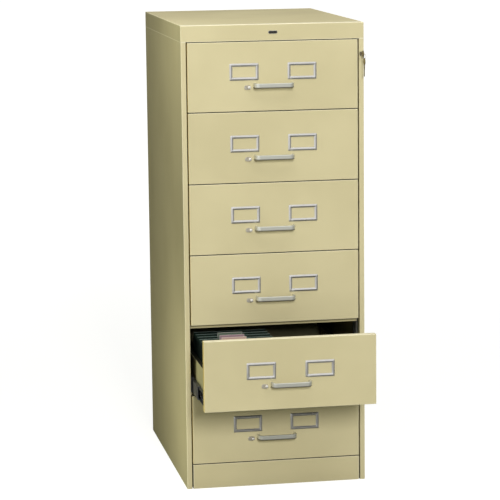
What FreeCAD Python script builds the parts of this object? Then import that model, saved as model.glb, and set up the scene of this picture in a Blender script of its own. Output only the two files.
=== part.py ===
import FreeCAD, Part
import Sketcher
import math
import os

# Six-drawer steel card index cabinet, folded from sheet steel and welded.
# Millimetres. Z is up, the drawer fronts face -Y, and X runs to the right as one faces them.
# The origin is the middle of the footprint on the floor. Drawer 5 from the top stands open.

DRAWERS = 6
OPEN_INDEX = 5
GUIDE_CARDS = 6
GUIDE_TABS = 4
QUARTER_TURN = math.pi / 2

document = FreeCAD.newDocument("card_index_cabinet")
sheet = document.addObject("Spreadsheet::Sheet", "Sizes")

SIZES = {
    # case
    "case_width": 520.0,
    "case_depth": 724.0,
    "case_height": 1321.0,
    "panel_sheet": 1.2,
    "bend_radius": 1.6,
    "stile_face": 14.3,
    "stile_return": 24.0,
    "rear_flange": 16.0,
    "top_flange": 14.0,
    "header_height": 45.6,
    "header_return": 20.0,
    "cap_flange": 14.0,
    "cap_seat_gap": 0.3,
    "base_height": 70.35,
    "base_foot": 20.0,
    "pan_setback": 26.0,
    "pan_flange": 15.0,
    # frame inside the case
    "post_depth": 16.5,
    "post_width": 40.0,
    "post_setback": 33.0,
    "rear_post_inset": 60.0,
    "post_slot_height": 16.0,
    "post_slot_width": 5.0,
    "post_slot_rise": 3.0,
    "rail_height": 9.6,
    "rail_depth": 18.0,
    "rail_rise": 4.6,
    "rail_setback": 20.5,
    # drawer fronts
    "drawer_gap": 2.5,
    "drawer_side_gap": 3.4,
    "top_front_cut": 5.0,
    "front_depth": 19.0,
    "open_reach": 219.0,
    # drawer trays
    "tray_sheet": 1.0,
    "tray_lift": 4.0,
    "tray_side": 97.0,
    "tray_length": 650.0,
    "tray_flange": 12.8,
    "tray_lip": 8.0,
    "fold_radius": 0.9,
    "divider_width": 10.0,
    "divider_drop": 12.0,
    "catch_reach": 8.0,
    "catch_height": 8.0,
    "catch_sheet": 1.5,
    "catch_level": 67.0,
    "catch_weld_gap": 0.1,
    # drawer slides
    "slide_thickness": 12.7,
    "slide_height": 42.0,
    "slide_length": 650.0,
    "slide_lift": 4.5,
    "slide_setback": 22.0,
    "slide_web": 1.5,
    "outer_channel_short": 2.5,
    "middle_channel_short": 1.9,
    "middle_web": 1.4,
    "inner_lip": 1.8,
    "inner_lip_gap": 0.8,
    "race_depth": 2.4,
    "running_gap": 0.35,
    "web_gap": 0.7,
    # pull
    "pull_span": 113.0,
    "pull_reach": 28.0,
    "pull_height": 14.0,
    "pull_thickness": 7.0,
    "pull_bend": 11.0,
    "pull_edge": 2.4,
    "pull_level": 71.5,
    # card label holders
    "holder_width": 82.5,
    "holder_height": 47.6,
    "holder_thickness": 3.0,
    "holder_corner": 2.5,
    "holder_offset": 82.5,
    "holder_level": 110.0,
    "window_width": 66.0,
    "window_height": 30.0,
    "label_margin": 3.0,
    "label_depth": 1.0,
    "holder_bevel": 1.7,
    # thumb latch
    "latch_width": 19.0,
    "latch_height": 12.7,
    "latch_offset": 73.0,
    "latch_level": 66.2,
    "latch_plate": 1.4,
    "latch_corner": 2.0,
    "latch_face_gap": 0.3,
    "latch_stem": 5.0,
    "latch_travel": 5.0,
    "knob_radius": 4.6,
    "knob_height": 7.0,
    "knob_shift": 3.6,
    "knob_waist": 1.2,
    "knob_dome_height": 2.2,
    "knob_crown_inset": 1.6,
    "knob_crown_drop": 0.5,
    "bolt_height": 6.0,
    "bolt_sheet": 2.0,
    "bolt_end_gap": 1.0,
    # badge on the header
    "badge_width": 27.0,
    "badge_height": 9.0,
    "badge_thickness": 1.2,
    "badge_end_flat": 0.1,
    # lock
    "lock_drop": 89.0,
    "lock_flange_radius": 6.2,
    "lock_flange_depth": 1.4,
    "lock_body_radius": 5.0,
    "lock_body_depth": 20.0,
    "plug_radius": 3.7,
    "plug_clearance": 0.08,
    "plug_proud": 2.2,
    "cam_radius": 4.8,
    "cam_sheet": 2.0,
    "cam_pin_throw": 3.6,
    "cam_pin_radius": 1.0,
    "cam_pin_proud": 0.8,
    "lock_bar_width": 10.0,
    "lock_bar_sheet": 1.5,
    "lock_bar_side_gap": 1.3,
    "lock_bar_setback": 28.0,
    "lock_bar_foot": 60.0,
    "lock_bar_top": 12.0,
    "lock_finger_reach": 15.0,
    "lock_finger_height": 6.0,
    "lock_finger_gap": 1.0,
    "lock_finger_weld_gap": 0.1,
    "lock_catch_gap": 0.5,
    "lock_hole_gap": 0.1,
    # keys
    "key_sheet": 2.0,
    "key_bow_radius": 10.0,
    "key_blade_height": 5.6,
    "key_blade_length": 22.0,
    "key_neck": 10.0,
    "key_eye_radius": 2.0,
    "key_eye_inset": 4.0,
    "keyway_side_gap": 0.1,
    "keyway_end_gap": 0.4,
    "ring_radius": 7.0,
    "ring_wire_radius": 0.7,
    "ring_gap": 0.1,
    # guide cards standing in the open drawer
    "card_height": 152.0,
    "card_sheet": 0.8,
    "card_side_gap": 0.8,
    "card_first": 169.0,
    "card_distance": 35.0,
    "tab_width": 71.0,
    "tab_inset": 58.0,
    "tab_height": 9.5,
    "tab_grip": 6.0,
    "tab_sheet": 0.5,
}

for row, (name, value) in enumerate(SIZES.items(), start=1):
    sheet.set(f"A{row}", name)
    sheet.set(f"B{row}", str(value))
    sheet.setAlias(f"B{row}", name)
document.recompute()


class Size:
    """A length that knows both its present value and the cell formula behind it."""

    def __init__(self, text, value):
        self.text = text
        self.value = value

    def join(self, other, sign, result, turned=False):
        other_text = other.text if isinstance(other, Size) else repr(float(other))
        first, second = (other_text, self.text) if turned else (self.text, other_text)
        return Size(f"({first} {sign} {second})", result)

    def __add__(self, other):
        return self.join(other, "+", self.value + number(other))

    def __radd__(self, other):
        return self.join(other, "+", number(other) + self.value, True)

    def __sub__(self, other):
        return self.join(other, "-", self.value - number(other))

    def __rsub__(self, other):
        return self.join(other, "-", number(other) - self.value, True)

    def __mul__(self, other):
        return self.join(other, "*", self.value * number(other))

    def __rmul__(self, other):
        return self.join(other, "*", number(other) * self.value, True)

    def __truediv__(self, other):
        return self.join(other, "/", self.value / number(other))

    def __neg__(self):
        return Size(f"(0 - {self.text})", -self.value)


def number(size):
    return size.value if isinstance(size, Size) else float(size)


def bind(target, path, size):
    """Ties a property or a sketch dimension to the sheet."""
    if isinstance(size, Size):
        target.setExpression(path, size.text)
    else:
        target.setExpression(path, repr(float(size)))


class Sheet:
    """Gives each named cell of the sheet as a Size."""

    def __getattr__(self, name):
        return Size(f"Sizes.{name}", float(sheet.get(name)))


S = Sheet()

# Levels and faces that several pieces share.
half_width = S.case_width / 2
half_depth = S.case_depth / 2
front_half = half_width - S.stile_face - S.drawer_side_gap
stack_height = S.case_height - S.header_height - S.base_height - S.drawer_gap
drawer_pitch = (stack_height + S.top_front_cut) / DRAWERS
first_level = S.base_height + S.drawer_gap
panel_height = S.case_height - S.header_height - S.cap_seat_gap
post_face = half_width - S.panel_sheet - S.post_depth
tray_half = post_face - S.slide_thickness
tray_top = S.tray_lift + S.tray_side
lock_level = S.case_height - S.lock_drop
lock_across = half_width - S.stile_face / 2


def drawer_level(index):
    """Height of a front's bottom edge above the floor; drawer 1 is the top one."""
    return first_level + drawer_pitch * (DRAWERS - index)


def front_height(index):
    """All fronts are alike but the top one, which gives a little to the header."""
    whole = drawer_pitch - S.drawer_gap
    return whole - S.top_front_cut if index == 1 else whole


def reach(index):
    """How far a drawer stands out of the case at rest."""
    return S.open_reach if index == OPEN_INDEX else Size("0", 0.0)


# Drawing helpers.

def new_body(label, place=(0, 0, 0), several=False):
    body = document.addObject("PartDesign::Body", label)
    body.Label = label
    body.AllowCompound = several
    for axis, size in zip("xyz", place):
        bind(body, f"Placement.Base.{axis}", size)
    return body


def origin_feature(body, role):
    return next(item for item in body.Origin.OriginFeatures if item.Role == role)


def new_sketch(body, plane, start):
    """A sketch on one of the body's own planes, moved to `start` along that plane's axis."""
    sketch = body.newObject("Sketcher::SketchObject", f"{body.Label}_sketch")
    sketch.AttachmentSupport = (origin_feature(body, f"{plane}_Plane"), [""])
    sketch.MapMode = "FlatFace"
    bind(sketch, "AttachmentOffset.Base.z", -start if plane == "XZ" else start)
    return sketch


def hold(sketch, kind, geometry, place, size):
    item = sketch.addConstraint(Sketcher.Constraint(kind, -1, 1, geometry, place, number(size)))
    bind(sketch, f"Constraints[{item}]", size)


def turning_axis(sketch, start, end):
    """A construction line that a revolved feature turns about."""
    ends = [FreeCAD.Vector(number(x), number(y), 0) for x, y in (start, end)]
    line = sketch.addGeometry(Part.LineSegment(*ends), True)
    for place, (x, y) in enumerate((start, end), start=1):
        hold(sketch, "DistanceX", line, place, x)
        hold(sketch, "DistanceY", line, place, y)


def polygon(*points):
    """A closed outline through the given corners."""
    def draw(sketch):
        first = sketch.GeometryCount
        corners = [FreeCAD.Vector(number(x), number(y), 0) for x, y in points]
        count = len(corners)
        for index in range(count):
            sketch.addGeometry(Part.LineSegment(corners[index], corners[(index + 1) % count]))
        for index in range(count):
            following = first + (index + 1) % count
            sketch.addConstraint(Sketcher.Constraint("Coincident", first + index, 2, following, 1))
        for index, (x, y) in enumerate(points):
            hold(sketch, "DistanceX", first + index, 1, x)
            hold(sketch, "DistanceY", first + index, 1, y)
    return draw


def rectangle(left, low, right, high):
    return polygon((left, low), (right, low), (right, high), (left, high))


def circle(x, y, radius):
    def draw(sketch):
        centre = FreeCAD.Vector(number(x), number(y), 0)
        ring = sketch.addGeometry(Part.Circle(centre, FreeCAD.Vector(0, 0, 1), number(radius)))
        hold(sketch, "DistanceX", ring, 3, x)
        hold(sketch, "DistanceY", ring, 3, y)
        item = sketch.addConstraint(Sketcher.Constraint("Radius", ring, number(radius)))
        bind(sketch, f"Constraints[{item}]", radius)
    return draw


def rounded(left, low, right, high, radius):
    """A rectangle with its four corners rounded."""
    def draw(sketch):
        r = number(radius)
        centres = (
            (left + radius, low + radius, 2),
            (right - radius, low + radius, 3),
            (right - radius, high - radius, 0),
            (left + radius, high - radius, 1),
        )
        arcs = []
        ends = []
        for x, y, turn in centres:
            middle = FreeCAD.Vector(number(x), number(y), 0)
            ring = Part.Circle(middle, FreeCAD.Vector(0, 0, 1), r)
            arc = Part.ArcOfCircle(ring, turn * QUARTER_TURN, (turn + 1) * QUARTER_TURN)
            arcs.append(sketch.addGeometry(arc))
            ends.append((arc.StartPoint, arc.EndPoint))
        lines = []
        for index in range(4):
            span = Part.LineSegment(ends[index][1], ends[(index + 1) % 4][0])
            lines.append(sketch.addGeometry(span))
        for index in range(4):
            following = arcs[(index + 1) % 4]
            sketch.addConstraint(Sketcher.Constraint("Tangent", arcs[index], 2, lines[index], 1))
            sketch.addConstraint(Sketcher.Constraint("Tangent", lines[index], 2, following, 1))
        for arc, (x, y, turn) in zip(arcs, centres):
            hold(sketch, "DistanceX", arc, 3, x)
            hold(sketch, "DistanceY", arc, 3, y)
        item = sketch.addConstraint(Sketcher.Constraint("Radius", arcs[0], r))
        bind(sketch, f"Constraints[{item}]", radius)
    return draw


def pad(body, plane, start, length, *loops):
    """Adds material from `start` towards the positive side of the plane's axis."""
    sketch = new_sketch(body, plane, start)
    for loop in loops:
        loop(sketch)
    feature = body.newObject("PartDesign::Pad", f"{body.Label}_pad")
    feature.Profile = sketch
    bind(feature, "Length", length)
    feature.Reversed = plane == "XZ"
    sketch.Visibility = False
    return feature


def pocket(body, plane, start, length, *loops):
    """Cuts from `start` towards the positive side of the plane's axis."""
    sketch = new_sketch(body, plane, start)
    for loop in loops:
        loop(sketch)
    feature = body.newObject("PartDesign::Pocket", f"{body.Label}_pocket")
    feature.Profile = sketch
    bind(feature, "Length", length)
    feature.Reversed = plane != "XZ"
    sketch.Visibility = False
    return feature


def repeat(body, feature, role, length, count):
    """Repeats one feature in a straight row along an axis of the body."""
    pattern = body.newObject("PartDesign::LinearPattern", f"{body.Label}_row")
    pattern.Originals = [feature]
    pattern.Direction = (origin_feature(body, role), [""])
    bind(pattern, "Length", length)
    pattern.Occurrences = count
    body.Tip = pattern
    return pattern


def edges_where(shape, test):
    names = []
    for index, edge in enumerate(shape.Edges, start=1):
        box = edge.BoundBox
        if test(edge, box):
            names.append(f"Edge{index}")
    return names


def dress(body, kind, size_name, size, test):
    """Rounds or bevels the edges of the body's last feature that pass the test."""
    document.recompute()
    base = body.Tip
    names = edges_where(base.Shape, test)
    if not names:
        raise RuntimeError(f"{body.Label}: no edge to work on")
    feature = body.newObject(f"PartDesign::{kind}", f"{body.Label}_{kind.lower()}")
    feature.Base = (base, names)
    bind(feature, size_name, size)
    return feature


def near(first, second):
    return abs(first - number(second)) < 0.01


def runs_along(axis, box):
    """True when an edge's box has length along one axis alone."""
    spans = {"x": box.XLength, "y": box.YLength, "z": box.ZLength}
    return spans.pop(axis) > 0.1 and max(spans.values()) < 0.01


# Case panels. Each side is one sheet with the front stile, its return and the rear flange
# folded from it, and a narrow flange under the top cap.

def side_panel(label, side):
    body = new_body(label, (side * half_width, -half_depth, 0))
    t = S.panel_sheet
    face = S.stile_face
    depth = S.case_depth
    section = polygon(
        (0, 0),
        (-side * face, 0),
        (-side * face, S.stile_return),
        (-side * (face - t), S.stile_return),
        (-side * (face - t), t),
        (-side * t, t),
        (-side * t, depth - t),
        (-side * S.rear_flange, depth - t),
        (-side * S.rear_flange, depth),
        (0, depth),
    )
    pad(body, "XY", 0, panel_height, section)
    low, high = sorted((-side * t, -side * S.top_flange), key=number)
    pad(body, "XY", panel_height - t, t, rectangle(low, t, high, depth - 2 * t))
    if side > 0:
        hole = circle(lock_across - half_width, lock_level, S.lock_body_radius + S.lock_hole_gap)
        pocket(body, "XZ", 0, t, hole)

    def outer_bend(edge, box):
        at_face = near(box.XMin, 0) and (near(box.YMin, 0) or near(box.YMin, depth))
        at_return = near(box.XMin, -side * face) and near(box.YMin, 0)
        return runs_along("z", box) and (at_face or at_return)

    dress(body, "Fillet", "Radius", S.bend_radius, outer_bend)
    return body


def back_panel():
    body = new_body("back_panel", (0, half_depth - 2 * S.panel_sheet, 0))
    inside = half_width - S.panel_sheet
    pad(body, "XZ", 0, S.panel_sheet, rectangle(-inside, 0, inside, panel_height))
    return body


# The top cap is a pan: its front wall is the plain header above the drawers, and its edges
# turn in to lie on the side panels' top flanges.

def top_cap():
    body = new_body("top_cap", (0, 0, S.case_height - S.header_height))
    t = S.panel_sheet
    rise = S.header_height
    pad(body, "XY", 0, rise, rectangle(-half_width, -half_depth, half_width, half_depth))
    mouth = half_width - S.cap_flange
    front_lip = -half_depth + S.header_return
    pocket(body, "XY", 0, t, rectangle(-mouth, front_lip, mouth, half_depth - S.cap_flange))
    inside = half_width - t
    hollow = rectangle(-inside, -half_depth + t, inside, half_depth - t)
    pocket(body, "XY", t, rise - 2 * t, hollow)

    def outer_edge(edge, box):
        upright = runs_along("z", box) and near(abs(box.XMin), half_width)
        rim = near(box.ZMin, rise) and near(box.ZMax, rise)
        return upright or rim

    dress(body, "Fillet", "Radius", S.bend_radius, outer_edge)
    return body


# The base panel closes the foot of the case between the stiles. Its upper return reaches
# back to the front posts, and its lower one lies on the floor against the bottom pan.

def base_panel():
    body = new_body("base_panel", (-front_half, -half_depth, 0))
    t = S.panel_sheet
    high = S.base_height
    section = polygon(
        (0, 0),
        (S.base_foot, 0),
        (S.base_foot, t),
        (t, t),
        (t, high - t),
        (S.post_setback, high - t),
        (S.post_setback, high),
        (0, high),
    )
    pad(body, "YZ", 0, 2 * front_half, section)

    def bend(edge, box):
        return runs_along("x", box) and near(box.YMin, 0)

    dress(body, "Fillet", "Radius", S.bend_radius, bend)
    return body


def bottom_pan():
    """The floor of the case, with its edges turned up against the side panels."""
    body = new_body("bottom_pan", (0, S.pan_setback - half_depth, 0))
    t = S.panel_sheet
    inside = half_width - t
    section = polygon(
        (-inside, 0),
        (inside, 0),
        (inside, S.pan_flange),
        (inside - t, S.pan_flange),
        (inside - t, t),
        (-inside + t, t),
        (-inside + t, S.pan_flange),
        (-inside, S.pan_flange),
    )
    pad(body, "XZ", 0, S.case_depth - S.pan_setback - 2 * t, section)
    shelf = rectangle(-front_half, S.base_foot - S.pan_setback, front_half, 0)
    pad(body, "XY", 0, t, shelf)
    return body


# Four slotted posts stand on the bottom pan's flanges, welded to the side panels, and carry
# the slides. Thin rails tie the front pair between one drawer and the next.

def slide_posts():
    foot = S.pan_flange
    body = new_body("slide_posts", (0, -half_depth, foot), several=True)
    t = S.panel_sheet
    outside = half_width - t
    rear = S.case_depth - S.rear_post_inset - S.post_width
    loops = []
    for start in (S.post_setback, rear):
        for side in (-1, 1):
            end = start + S.post_width
            loops.append(polygon(
                (side * outside, start),
                (side * post_face, start),
                (side * post_face, end),
                (side * outside, end),
                (side * outside, end - t),
                (side * (post_face + t), end - t),
                (side * (post_face + t), start + t),
                (side * outside, start + t),
            ))
    pad(body, "XY", 0, panel_height - foot - 2 * t, *loops)
    level = first_level - foot + S.slide_lift + S.slide_height + S.post_slot_rise
    slots = []
    for start in (S.post_setback, rear):
        low = start + (S.post_width - S.post_slot_width) / 2
        slots.append(rectangle(low, level, low + S.post_slot_width, level + S.post_slot_height))
    cut = pocket(body, "YZ", -half_width, S.case_width, *slots)
    repeat(body, cut, "Z_Axis", drawer_pitch * (DRAWERS - 1), DRAWERS)
    return body


def cross_rails():
    middle = first_level + drawer_pitch - S.drawer_gap / 2
    low = middle + S.rail_rise - S.rail_height
    body = new_body("cross_rails", (-post_face, S.rail_setback - half_depth, low), several=True)
    t = S.panel_sheet
    section = polygon(
        (0, 0),
        (S.rail_depth, 0),
        (S.rail_depth, t),
        (t, t),
        (t, S.rail_height - t),
        (S.rail_depth, S.rail_height - t),
        (S.rail_depth, S.rail_height),
        (0, S.rail_height),
    )
    rail = pad(body, "YZ", 0, 2 * post_face, section)
    repeat(body, rail, "Z_Axis", drawer_pitch * (DRAWERS - 2), DRAWERS - 1)
    return body


# Drawer slides, three telescoping channels on each side. Sections are drawn from the post
# (0) towards the tray, with the foot of the outer channel at height 0.

def outer_section(side):
    across = S.slide_thickness
    high = S.slide_height
    web = S.slide_web
    tip = across - S.outer_channel_short
    wall = side * post_face
    return polygon(
        (wall, 0),
        (wall - side * tip, 0),
        (wall - side * tip, web),
        (wall - side * web, web),
        (wall - side * web, high - web),
        (wall - side * tip, high - web),
        (wall - side * tip, high),
        (wall, high),
    )


def middle_section(side):
    """The middle channel's thick edges are its ball races, a running gap inside the outer's."""
    near_web = S.slide_web + S.web_gap
    far_web = near_web + S.middle_web
    tip = S.slide_thickness - S.middle_channel_short
    low = S.slide_web + S.running_gap
    high = S.slide_height - low
    race = S.race_depth
    wall = side * post_face
    return polygon(
        (wall - side * near_web, low),
        (wall - side * tip, low),
        (wall - side * tip, low + race),
        (wall - side * far_web, low + race),
        (wall - side * far_web, high - race),
        (wall - side * tip, high - race),
        (wall - side * tip, high),
        (wall - side * near_web, high),
    )


def inner_section(side):
    """The inner channel opens the other way and is fixed to the tray's side."""
    low = S.slide_web + 2 * S.running_gap + S.race_depth
    high = S.slide_height - low
    lip = S.inner_lip
    tip = S.slide_web + S.web_gap + S.middle_web + S.inner_lip_gap
    web = S.slide_thickness - S.slide_web
    wall = side * post_face
    tray = wall - side * S.slide_thickness
    return polygon(
        (tray, low),
        (tray, high),
        (wall - side * tip, high),
        (wall - side * tip, high - lip),
        (wall - side * web, high - lip),
        (wall - side * web, low + lip),
        (wall - side * tip, low + lip),
        (wall - side * tip, low),
    )


def case_slide_members():
    place = (0, S.slide_setback - half_depth, first_level + S.slide_lift)
    body = new_body("case_slide_members", place, several=True)
    pair = pad(body, "XZ", 0, S.slide_length, outer_section(-1), outer_section(1))
    repeat(body, pair, "Z_Axis", drawer_pitch * (DRAWERS - 1), DRAWERS)
    return body


def middle_slide_members(index):
    out = reach(index) / 2
    place = (0, S.slide_setback - half_depth - out, drawer_level(index) + S.slide_lift)
    body = new_body(f"drawer_{index}_middle_slide_members", place, several=True)
    pad(body, "XZ", 0, S.slide_length, middle_section(-1), middle_section(1))
    return body


def drawer_place(index, forward=0, up=0):
    """The middle of a front's bottom edge, which each drawer's pieces are drawn from."""
    return (0, -half_depth - reach(index) + forward, drawer_level(index) + up)


def drawer_slide_members(index):
    place = drawer_place(index, S.slide_setback, S.slide_lift)
    body = new_body(f"drawer_{index}_slide_members", place, several=True)
    pad(body, "XZ", 0, S.slide_length, inner_section(-1), inner_section(1))
    return body


# A drawer front is a shallow pan, open at the back, where the tray's front wall fits in.

def drawer_front(index):
    body = new_body(f"drawer_{index}_front", drawer_place(index))
    t = S.panel_sheet
    high = front_height(index)
    pad(body, "XZ", 0, S.front_depth, rectangle(-front_half, 0, front_half, high))
    inside = front_half - t
    pocket(body, "XZ", t, S.front_depth - t, rectangle(-inside, t, inside, high - t))
    slot_half = S.latch_stem / 2 + S.latch_face_gap
    slot = rectangle(
        -S.latch_offset - slot_half,
        S.latch_level - slot_half,
        -S.latch_offset + slot_half + S.latch_travel,
        S.latch_level + slot_half,
    )
    pocket(body, "XZ", 0, t, slot)

    def face_edge(edge, box):
        across = near(box.XMax, front_half) or near(box.XMin, -front_half)
        level = near(box.ZMin, 0) or near(box.ZMax, high)
        on_face = near(box.YMax, 0)
        corner = runs_along("y", box) and box.YLength > t.value * 2
        return (on_face or corner) and (across or level)

    dress(body, "Fillet", "Radius", S.bend_radius, face_edge)
    return body


# The tray: floor and sides folded from one sheet, with a rolled flange along each side's
# top, a front wall that closes the back of the front, a rear wall, and a hollow divider
# down the middle between the two rows of cards. A small catch is welded to the right side,
# where the finger of the lock bar comes up in front of it.

def drawer_tray(index):
    body = new_body(f"drawer_{index}_tray", drawer_place(index, S.front_depth), several=True)
    t = S.tray_sheet
    low = S.tray_lift
    top = tray_top
    roll = tray_half - S.tray_flange
    fold = []
    for side in (-1, 1):
        run = [
            (side * tray_half, low),
            (side * tray_half, top),
            (side * roll, top),
            (side * roll, top - S.tray_lip),
            (side * (roll + t), top - S.tray_lip),
            (side * (roll + t), top - t),
            (side * (tray_half - t), top - t),
            (side * (tray_half - t), low + t),
        ]
        fold += run if side < 0 else run[::-1]
    pad(body, "XZ", 0, S.tray_length, polygon(*fold))
    edge = front_half - S.panel_sheet
    high = front_height(index) - S.panel_sheet
    pad(body, "XZ", -t, t, rectangle(-edge, S.panel_sheet, edge, high))
    pad(body, "XZ", S.tray_length - t, t, rectangle(-tray_half, low, tray_half, top))
    half = S.divider_width / 2
    ridge = top - S.divider_drop
    divider = polygon(
        (-half, low + t),
        (-half, ridge),
        (half, ridge),
        (half, low + t),
        (half - t, low + t),
        (half - t, ridge - t),
        (-half + t, ridge - t),
        (-half + t, low + t),
    )
    pad(body, "XZ", 0, S.tray_length - t, divider)
    foot = tray_half + S.catch_weld_gap
    catch = rectangle(foot, S.catch_level, foot + S.catch_reach, S.catch_level + S.catch_height)
    behind_fingers = S.lock_bar_setback + S.lock_catch_gap
    pad(body, "XZ", behind_fingers - S.front_depth, S.catch_sheet, catch)

    def rolled(edge_item, box):
        outer = near(abs(box.XMin), tray_half) and near(box.ZMin, top)
        inner = near(abs(box.XMin), roll) and near(box.ZMin, top)
        crest = near(abs(box.XMin), half) and near(box.ZMin, ridge)
        return runs_along("y", box) and box.YLength > 10 and (outer or inner or crest)

    dress(body, "Fillet", "Radius", S.fold_radius, rolled)
    return body


# The pull is one bar, bent back at both ends to stand on the front.

def drawer_pull(index):
    body = new_body(f"drawer_{index}_pull", drawer_place(index, 0, S.pull_level))
    half = (S.pull_span - S.pull_thickness) / 2
    out = S.pull_reach - S.pull_thickness / 2
    bend = S.pull_bend
    path = body.newObject("Sketcher::SketchObject", f"{body.Label}_path")
    path.AttachmentSupport = (origin_feature(body, "XY_Plane"), [""])
    path.MapMode = "FlatFace"
    h, o, r = number(half), number(out), number(bend)
    up = FreeCAD.Vector(0, 0, 1)
    left_ring = Part.Circle(FreeCAD.Vector(-h + r, -o + r, 0), up, r)
    right_ring = Part.Circle(FreeCAD.Vector(h - r, -o + r, 0), up, r)
    left_leg = path.addGeometry(Part.LineSegment(
        FreeCAD.Vector(-h, 0, 0), FreeCAD.Vector(-h, -o + r, 0)))
    left_arc = path.addGeometry(Part.ArcOfCircle(left_ring, 2 * QUARTER_TURN, 3 * QUARTER_TURN))
    bar = path.addGeometry(Part.LineSegment(
        FreeCAD.Vector(-h + r, -o, 0), FreeCAD.Vector(h - r, -o, 0)))
    right_arc = path.addGeometry(Part.ArcOfCircle(right_ring, 3 * QUARTER_TURN, 4 * QUARTER_TURN))
    right_leg = path.addGeometry(Part.LineSegment(
        FreeCAD.Vector(h, -o + r, 0), FreeCAD.Vector(h, 0, 0)))
    for first, second in (
        (left_leg, left_arc), (left_arc, bar), (bar, right_arc), (right_arc, right_leg),
    ):
        path.addConstraint(Sketcher.Constraint("Tangent", first, 2, second, 1))
    hold(path, "DistanceX", left_leg, 1, -half)
    hold(path, "DistanceY", left_leg, 1, 0)
    hold(path, "DistanceX", left_arc, 3, -half + bend)
    hold(path, "DistanceY", left_arc, 3, -out + bend)
    hold(path, "DistanceX", right_arc, 3, half - bend)
    hold(path, "DistanceY", right_arc, 3, -out + bend)
    hold(path, "DistanceX", right_leg, 2, half)
    hold(path, "DistanceY", right_leg, 2, 0)
    item = path.addConstraint(Sketcher.Constraint("Radius", left_arc, r))
    bind(path, f"Constraints[{item}]", bend)
    profile = new_sketch(body, "XZ", 0)
    thick = S.pull_thickness / 2
    tall = S.pull_height / 2
    rounded(-half - thick, -tall, -half + thick, tall, S.pull_edge)(profile)
    pipe = body.newObject("PartDesign::AdditivePipe", f"{body.Label}_pipe")
    pipe.Profile = profile
    pipe.Spine = (path, ["Edge1", "Edge2", "Edge3", "Edge4", "Edge5"])
    profile.Visibility = False
    path.Visibility = False
    return body


# Two stamped label holders a drawer: a bevelled frame round an open window, hollow behind
# to take the slip.

def label_holders(index):
    body = new_body(f"drawer_{index}_label_holders", drawer_place(index, 0, S.holder_level),
                    several=True)
    wide = S.holder_width / 2
    tall = S.holder_height / 2
    open_wide = S.window_width / 2
    open_tall = S.window_height / 2
    frames = []
    slips = []
    for side in (-1, 1):
        middle = side * S.holder_offset
        frames.append(rounded(middle - wide, -tall, middle + wide, tall, S.holder_corner))
        frames.append(rectangle(middle - open_wide, -open_tall, middle + open_wide, open_tall))
        slips.append(rectangle(
            middle - open_wide - S.label_margin, -open_tall - S.label_margin,
            middle + open_wide + S.label_margin, open_tall + S.label_margin))
    pad(body, "XZ", -S.holder_thickness, S.holder_thickness, *frames)
    pocket(body, "XZ", -S.label_depth, S.label_depth, *slips)

    def outer_front(edge, box):
        return near(box.YMin, -S.holder_thickness) and near(box.YMax, -S.holder_thickness)

    dress(body, "Chamfer", "Size", S.holder_bevel, outer_front)
    return body


# The thumb latch: a small plate with a domed knob slides on the face. Its stem passes the
# slot in the front and carries a flat bolt that runs to the front's left end.

def thumb_latch(index):
    place = (-S.latch_offset, -half_depth - reach(index), drawer_level(index) + S.latch_level)
    body = new_body(f"drawer_{index}_thumb_latch", place)
    wide = S.latch_width / 2
    tall = S.latch_height / 2
    gap = S.latch_face_gap
    plate = S.latch_plate
    pad(body, "XZ", -gap - plate, plate, rounded(-wide, -tall, wide, tall, S.latch_corner))
    stem = S.latch_stem / 2
    stem_long = plate + 2 * gap + S.panel_sheet
    pad(body, "XZ", -gap - plate, stem_long + S.bolt_sheet / 2, rectangle(-stem, -stem, stem, stem))
    edge = front_half - S.panel_sheet - S.bolt_end_gap - S.latch_offset
    bolt = rectangle(-edge, -S.bolt_height / 2, stem, S.bolt_height / 2)
    pad(body, "XZ", S.panel_sheet + gap, S.bolt_sheet, bolt)
    sketch = new_sketch(body, "XY", 0)
    foot = -gap - plate / 2
    crown = -gap - plate - S.knob_height
    rim = S.knob_shift + S.knob_radius
    polygon(
        (S.knob_shift, foot),
        (rim - S.knob_waist, foot),
        (rim, crown + S.knob_dome_height),
        (rim - S.knob_crown_inset, crown + S.knob_crown_drop),
        (S.knob_shift, crown),
    )(sketch)
    turning_axis(sketch, (S.knob_shift, 0), (S.knob_shift, S.knob_height))
    knob = body.newObject("PartDesign::Revolution", f"{body.Label}_knob")
    knob.Profile = sketch
    knob.ReferenceAxis = (sketch, ["Axis0"])
    knob.Angle = 360.0
    sketch.Visibility = False
    return body


# A blank badge on the header.

def badge_plate():
    place = (0, -half_depth, S.case_height - S.header_height / 2)
    body = new_body("badge_plate", place)
    wide = S.badge_width / 2
    tall = S.badge_height / 2
    pill = rounded(-wide, -tall, wide, tall, tall - S.badge_end_flat)
    pad(body, "XZ", -S.badge_thickness, S.badge_thickness, pill)
    return body


# The lock in the right stile. The plug turns in its housing, and the pin on the plug's cam
# lifts the lock bar, whose fingers then stand in front of the catches on the trays.

def lock_housing():
    body = new_body("lock_housing", (lock_across, -half_depth, lock_level))
    bore = S.plug_radius + S.plug_clearance
    pad(body, "XZ", -S.lock_flange_depth, S.lock_flange_depth,
        circle(0, 0, S.lock_flange_radius), circle(0, 0, bore))
    pad(body, "XZ", 0, S.lock_body_depth,
        circle(0, 0, S.lock_body_radius), circle(0, 0, bore))
    return body


def pin_offset():
    """The cam pin rests 45 degrees below the level on the left and ends as far above it."""
    return S.cam_pin_throw * math.sqrt(0.5)


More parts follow.
